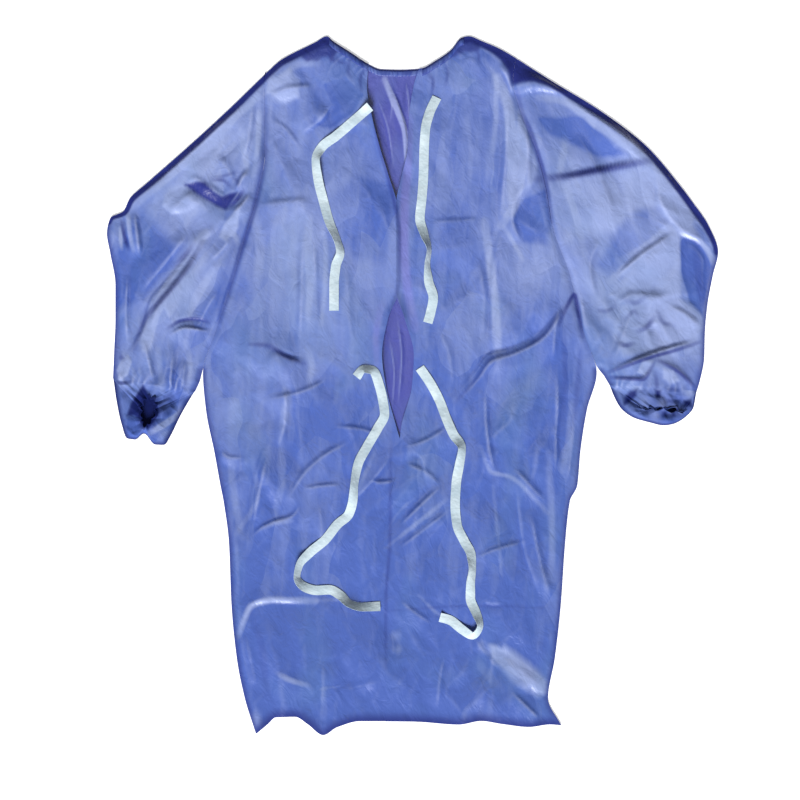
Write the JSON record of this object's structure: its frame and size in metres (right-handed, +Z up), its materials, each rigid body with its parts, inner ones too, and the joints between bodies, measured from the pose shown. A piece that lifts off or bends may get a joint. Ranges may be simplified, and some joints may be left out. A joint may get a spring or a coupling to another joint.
{
  "type": "protective apron",
  "caption": "Long-sleeved protective film gown laid flat, back side up, open down the back, with gathered neck and cuffs and tie tapes.",
  "frame": {"origin": "on the surface the garment lies on, under the middle of its outline", "axes": "+X across the garment to the viewer's right, +Y from the hem to the neck, +Z up off the surface, out of the garment's back"},
  "size_m": [1.0044, 1.1482, 0.0372],
  "materials": {
    "film_outside": "glossy periwinkle blue plastic film, finely creased",
    "film_inside": "inside of the same film, a little more violet and less shiny",
    "tape": "icy white woven tie tape, soft satin"
  },
  "bodies": {
    "root": {"front_panel": "film_inside", "back_left_panel": "film_outside", "back_right_panel": "film_outside", "sleeve_left": "film_outside", "sleeve_right": "film_outside", "cuff_left": "film_outside", "cuff_right": "film_outside", "neck_casing_front": "film_outside", "neck_casing_left": "film_outside", "neck_casing_right": "film_outside", "neck_tape_left": "tape", "neck_tape_right": "tape", "waist_tape_left": "tape", "waist_tape_right": "tape"}
  },
  "joints": []
}
